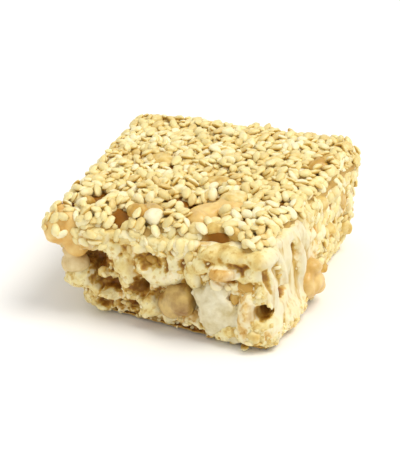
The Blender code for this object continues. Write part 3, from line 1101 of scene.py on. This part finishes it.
top_low, top_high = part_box("sesame_top")
bm = merged_copy("sesame_top")
for vert in bm.verts:
    if vert.co.z < top_low.z + LAYER_TOUCH:
        vert.co.z -= 3 * LAYER_GAP
bm = fused(bm, BED_VOXEL)
smooth(bm, 3)
for vert in bm.verts:
    if vert.co.z > top_low.z:
        swell = BED_SWELL * noise.noise(vert.co / BED_SWELL_WIDTH)
        swell += BED_RIPPLE * noise.noise(vert.co / BED_RIPPLE_WIDTH)
        bare = bareness(vert.co)
        vert.co += vert.normal * (swell - BED_SUNK)
        vert.co.x -= TOP_TUCK * tuck(vert.co)
        vert.co.z += BARE_RISE * bare

# The syrup between the seeds: amber and glossy, with painted shade the deeper it lies.
bed = new_material(
    "amber_syrup_bed", Roughness=0.36, Specular_IOR_Level=0.12, Subsurface_Weight=0.25,
    Subsurface_Scale=0.8 * MM, Subsurface_Radius=(1.0, 0.55, 0.2), Coat_Weight=0.04, Coat_Roughness=0.15,
)
coords = add_node(bed, "TexCoord").outputs["Object"]
sunk = add_node(bed, "Attribute", attribute_name="sunk").outputs["Fac"]
cloud = add_node(bed, "TexNoise", {"Vector": coords}, {"Scale": 1 / (3.5 * MM), "Detail": 4.0})
amber = add_node(bed, "ValToRGB", {0: cloud.outputs["Fac"]}, stops=BED_COLOURS)
colour = with_painted_shade(bed, amber.outputs[0], sunk, BED_SHADE_COLOURS)
finish(bed, colour, coords, 0.6 * MM, 0.5, 0.15 * MM)

top_bed = add_piece("top_syrup_bed", mesh_of("top_syrup_bed", bm), bed, "syrup", "sesame_top")
# Painted shade: the bed darkens where it lies low between the seeds, and in the bare spots.
bare_spot_shade = [0.5 + BARE_SHADE * bareness(vert.co) for vert in top_bed.data.vertices]
write_share(top_bed.data, "sunk", np.maximum(sunk_share(top_bed.data, DEPTH_SPREAD, DEEPEST), bare_spot_shade))

rng = random.Random(TOP_SEED)
bed_tree = tree_of(top_bed)
kernel_trees = [tree_of(bpy.data.objects[f"peanut_top_{size}_kernel"]) for size in ("small", "large")]
grains, nut_tones = [], []
for x, y, half_x, half_y, proud, turn, tone in CRUST_NUTS:
    start = Vector((x, y, PIN_REACH / MM)) * MM
    pins = [tree.ray_cast(start, -UP)[0] for tree in (bed_tree, *kernel_trees)]
    touched = max((pin for pin in pins if pin), key=lambda pin: pin.z)
    half = Vector((half_x * MM, half_y * MM, CRUST_NUT_THICK))
    centre = touched + UP * proud * MM
    place = Matrix.Translation(centre) @ Matrix.Rotation(math.radians(turn), 4, "Z")
    grains.append(oval(4, half, place, rng, NUT_BREAKS, BLUNT_REACH))
    nut_tones += [tone] * len(grains[-1][0])
mesh = nut_mesh("crust_nut_pieces", grains, CRUST_NUT_ROUGH)
write_share(mesh, "tone", nut_tones)
crust_nuts = add_piece("crust_nut_pieces", mesh, chopped, "peanut")

seed_shapes = [seed_shape(rng) for _ in range(SEED_SHAPES)]
nut_trees = [tree_of(crust_nuts), *kernel_trees]
margin = Vector((2 * MM, 2 * MM, 0.0))
grid_low, grid_high = top_low - margin, top_high + margin
bed_heights = height_grid([bed_tree], grid_low, grid_high)
nut_heights = height_grid(nut_trees, grid_low, grid_high)


def seed_lands(x, y):
    """On the crust, but in no bare spot and on no proud piece of nut."""
    if any(in_spot(x, y, spot) < BARE_RIM for spot in BARE_SPOTS):
        return False
    column, row = int((x - grid_low.x) / CELL), int((y - grid_low.y) / CELL)
    on_bed = bed_heights[column, row] > top_low.z + 0.7 * MM
    return on_bed and nut_heights[column, row] < bed_heights[column, row] + BED_SUNK + NUT_PROUD


heap = np.maximum(bed_heights, nut_heights)
top_grains = drop_seeds(TOP_SEEDS, heap, grid_low, grid_high, rng, seed_lands)

# Hulled sesame: pearly cream, faintly oily, toasted darker here and there, and darker amber
# round its foot: partly wetted by the syrup it sits in, partly painted shade under the seed.
sesame = new_material(
    "hulled_sesame", Roughness=0.42, IOR=1.47, Subsurface_Weight=0.3, Subsurface_Scale=0.7 * MM,
    Subsurface_Radius=(1.0, 0.75, 0.42), Coat_Weight=0.25, Coat_Roughness=0.25,
)
coords = add_node(sesame, "TexCoord").outputs["Object"]
rise = add_node(sesame, "Attribute", attribute_name="rise").outputs["Fac"]
toasted = toned_colour(sesame, coords, ((7.0 * MM, 3.0, 0.3), (0.9 * MM, 3.0, 0.15)), SEED_COLOURS)
# Painted shade towards each seed's foot, partly its wetting by the syrup.
colour = with_painted_shade(sesame, toasted, rise, SEED_FOOT_WET_AND_SHADE_COLOURS)
finish(sesame, colour, coords, 0.9 * MM, 0.3, 0.1 * MM)
add_piece("top_seeds", strewn("top_seeds", seed_shapes, top_grains), sesame, "sesame")


# Base crust ---------------------------------------------------------------------------
# The same seed and syrup below. The slab lay on a flat board while it set, so the seeds
# underneath are flush with it, and loose ones stick out round the foot.

BASE_SEEDS = 780
BASE_SPACING = 1.72 * MM
FOOT_SEEDS = 300
FOOT_SPACING = 1.6 * MM
FOOT_INSET = 0.4 * MM
FRONT_INSET = 1.2 * MM  # how much further back the torn front foot lies
CORNER_INSET = 0.7 * MM  # and the drawn front right corner
TORN_TO = 8.0 * MM  # the front foot is torn bare as far right as this
BARE_FOOT = 3.4 * MM  # and this far in
FOOT_CRUMBS = 160
FOOT_CRUMB_HALF = (0.4 * MM, 1.1 * MM)
BASE_SEED = 9
TABLE_GAP = 0.02 * MM  # how far the lowest grain stays off the table
FLUSH = 0.12 * MM  # how evenly the seeds underneath lie
FOOT_RELIEF = 0.5 * MM  # how uneven the foot is
FOOT_RELIEF_WIDTH = 1.6 * MM
BOARD_GAP = 0.55 * MM  # how far the syrup underneath stays up, over the seeds
BOARD_RELIEF = 0.15 * MM

_, base_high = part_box("sesame_base")
bm = merged_copy("sesame_base")
for vert in bm.verts:
    if vert.co.z > base_high.z - LAYER_TOUCH:
        vert.co.z += 3 * LAYER_GAP
bm = fused(bm, BED_VOXEL)
smooth(bm, 3)
for vert in bm.verts:
    outward = Vector((vert.normal.x, vert.normal.y, 0.0))
    relief = FOOT_RELIEF * noise.noise(vert.co / FOOT_RELIEF_WIDTH) - FOOT_INSET
    if vert.co.x < TORN_TO:
        relief -= FRONT_INSET * max(0.0, vert.normal.dot(FRONT))
    elif vert.co.y < TUCKED_FROM:
        relief -= CORNER_INSET
    vert.co += outward * relief
    vert.co.x -= tuck(vert.co)
    if vert.normal.z < -0.5:
        vert.co.z += BOARD_GAP + BOARD_RELIEF * noise.noise(vert.co / (2.0 * MM))
base_bed = add_piece("base_syrup_bed", mesh_of("base_syrup_bed", bm), bed, "syrup", "sesame_base")
# Painted shade where the base bed lies low.
write_share(base_bed.data, "sunk", sunk_share(base_bed.data, DEPTH_SPREAD, DEEPEST))


def lowest_point(index, matrix):
    """How high the lowest point of a placed seed is."""
    turn = np.array(matrix)
    return (seed_shapes[index][0] @ turn[2, :3] + turn[2, 3]).min()


def side_seed(point, facing, rng, sunk, wild):
    """A seed stuck on a surface, sunk by a share of its thickness, and kept off the table."""
    index = rng.randrange(SEED_SHAPES)
    size = rng.uniform(*SEED_SIZES)
    centre = point + facing * SEED_HALF.z * size * (1.0 - 2.0 * sunk)
    lies = facing_frame(centre, facing, rng.uniform(0.0, math.tau))
    matrix = lies @ rolled(rng, wild) @ Matrix.Scale(size, 4)
    lift = max(0.0, TABLE_GAP - lowest_point(index, matrix))
    return index, Matrix.Translation(UP * lift) @ matrix, rng.random()


def foot_seed_sticks(point, facing):
    """Seeds stick out round the foot, but hardly any under the torn front side."""
    if abs(facing.z) > 0.75:
        return False
    wanted = 0.62 if point.y > TUCKED_FROM else 0.36
    if facing.dot(FRONT) > 0.6:
        wanted = -0.1 if point.x < TORN_TO else 0.36
    return 0.5 + 0.6 * noise.noise(point / (2.5 * MM)) < wanted


def lies_under(point, facing):
    """Underneath, but not along the front foot, nor round the drawn corner."""
    ahead = FRONT * BARE_FOOT * (1.0 if point.x < TORN_TO else 0.5)
    if point.y < TUCKED_FROM:
        ahead += RIGHT * 0.5 * BARE_FOOT
    covered = base_tree.ray_cast(point + ahead + UP * PIN_REACH, -UP)[0]
    return facing.z < -0.7 and covered is not None


rng = random.Random(BASE_SEED)
grains = []
base_bm = merged_copy("sesame_base")
base_tree = BVHTree.FromBMesh(base_bm)
for point, _ in surface_points(base_bm, BASE_SPACING, BASE_SEEDS, rng, lies_under):
    point.x -= tuck(point)
    index, matrix, number = side_seed(point, -UP, rng, 0.5, 0.1)
    flush = TABLE_GAP + FLUSH * rng.random() - lowest_point(index, matrix)
    grains.append((index, Matrix.Translation(UP * flush) @ matrix, number))
base_bm.free()
base_bm = bm_of(base_bed.data)
for point, facing in surface_points(base_bm, FOOT_SPACING, FOOT_SEEDS, rng, foot_seed_sticks):
    grains.append(side_seed(point, facing, rng, rng.uniform(0.3, 0.75), 0.5))
add_piece("base_seeds", strewn("base_seeds", seed_shapes, grains), sesame, "sesame")


def foot_crumb_sticks(point, facing):
    """Along the torn front foot."""
    return facing.dot(FRONT) > 0.2 and abs(facing.z) < 0.8 and point.x < TORN_TO


grains = []
for point, facing in surface_points(base_bm, CRUMB_SPACING, FOOT_CRUMBS, rng, foot_crumb_sticks):
    size = rng.uniform(*FOOT_CRUMB_HALF)
    centre = point + facing * size * rng.uniform(-0.4, 0.1)
    centre.z = max(centre.z, size)
    place = facing_frame(centre, facing, rng.uniform(0.0, math.tau)) @ Matrix.Scale(size, 4)
    grains.append((rng.randrange(CRUMB_SHAPES), place, rng.uniform(0.1, 0.8)))
base_bm.free()
add_piece("foot_crumb", strewn("foot_crumb", crumb_shapes, grains), chopped, "peanut")


# Strayed seeds ------------------------------------------------------------------------
# Seeds that rolled over the edges before the syrup set: thick along the upper edges and
# over the back half of the right side, and a few on each cut side.

EDGE_SEEDS = 760
EDGE_SPACING = 1.3 * MM
SPILLED = 4.0 * MM  # how far the seeds reach down from the upper edge
BROW_FROM = 7.0 * MM  # and where the glazed brow begins, which they leave bare
CORNER_SEEDS = 26
STRAY_SEED = 12
STRAY_SHARE = 0.10  # how many seeds lie away from the edges
BROW_SHARE = 0.12
BACK_SHARE = 0.75  # and over the back half of the right side


def seed_strays(point, facing):
    """Thick near the upper edges, thin further down and on the glaze, in small patches."""
    if abs(facing.z) > 0.8 or not clear_of_peanuts(point, -0.8 * MM) or not clear_of_pits(point, 0.4):
        return False
    band = SPILLED if facing.dot(FRONT) > 0.5 and point.x < BROW_FROM else 0.8 * SPILLED
    chance = STRAY_SHARE + max(0.0, 1.0 - (top_low.z - point.z) / band)
    if facing.dot(FRONT) > 0.3 and point.x > BROW_FROM:
        chance = BROW_SHARE
    if facing.x > 0.6 and point.y > 0.0:
        chance = BACK_SHARE
    if smear_share(point, facing) > 0.4:
        chance *= 0.3
    return 0.5 + 0.5 * noise.noise(point / (2.0 * MM)) < chance


def lies_on_corner(point, facing):
    """In patches over the upper side of the corner peanut."""
    return facing.z > 0.15 and noise.noise(point / (2.0 * MM)) > -0.15


rng = random.Random(STRAY_SEED)
bm = bm_of(top_bed.data, core.data)
grains = []
for point, facing in surface_points(bm, EDGE_SPACING, EDGE_SEEDS, rng, seed_strays):
    grains.append(side_seed(point, facing, rng, rng.uniform(0.45, 0.85), 0.3))
bm.free()
bm = bm_of(bpy.data.objects["peanut_corner_kernel"].data)
for point, facing in surface_points(bm, EDGE_SPACING, CORNER_SEEDS, rng, lies_on_corner):
    grains.append(side_seed(point, facing, rng, rng.uniform(0.3, 0.6), 0.35))
bm.free()
add_piece("strayed_seeds", strewn("strayed_seeds", seed_shapes, grains), sesame, "sesame")


# Table, light and camera --------------------------------------------------------------
# A plain white sheet of paper under soft studio light: a broad key from the right and a
# little behind, so that shadows fall to the left, and bright white walls all round.

SWEEP = 6.0
KEY_FROM = Vector((0.46, 0.03, 0.88))
KEY_ANGLE = 32
KEY_STRENGTH = 1.77
WALL_STRENGTH = 0.73
AIM = Vector((-1.5, -0.1, 10.0)) * MM
CAMERA_AZIMUTH, CAMERA_HEIGHT, CAMERA_ROLL = 22.05, 25.34, -1.5
CAMERA_DISTANCE = 423 * MM
LENS = 174

bm = bmesh.new()
bmesh.ops.create_grid(bm, x_segments=1, y_segments=1, size=SWEEP / 2)
mesh = mesh_of("paper_sweep", bm)
floor = bpy.data.objects.new("paper_sweep", mesh)
bpy.context.scene.collection.objects.link(floor)
paper = new_material("white_paper", Base_Color=linear("#FBFBFB"), Roughness=0.9)
mesh.materials.append(paper)

key = bpy.data.objects.new("key", bpy.data.lights.new("key", "SUN"))
key.data.energy = KEY_STRENGTH
key.data.angle = math.radians(KEY_ANGLE)
key.data.color = linear("#FFFAF0")[:3]
key.rotation_mode = "QUATERNION"
key.rotation_quaternion = KEY_FROM.to_track_quat("Z", "Y")
bpy.context.scene.collection.objects.link(key)

world = bpy.data.worlds.new("white_walls")
world.use_nodes = True
world.node_tree.nodes["Background"].inputs["Color"].default_value = linear("#FFFFFF")
world.node_tree.nodes["Background"].inputs["Strength"].default_value = WALL_STRENGTH
bpy.context.scene.world = world

azimuth, height = math.radians(CAMERA_AZIMUTH), math.radians(CAMERA_HEIGHT)
away = Vector((math.sin(azimuth) * math.cos(height), -math.cos(azimuth) * math.cos(height), math.sin(height)))
camera = bpy.data.objects.new("camera", bpy.data.cameras.new("camera"))
camera.data.lens = LENS
camera.data.clip_start = 10 * MM
camera.location = AIM + away * CAMERA_DISTANCE
look = away.to_track_quat("Z", "Y").to_matrix() @ Matrix.Rotation(math.radians(CAMERA_ROLL), 3, "Z")
camera.rotation_euler = look.to_euler()
bpy.context.scene.collection.objects.link(camera)
bpy.context.scene.camera = camera
bpy.context.scene.view_settings.view_transform = "Standard"
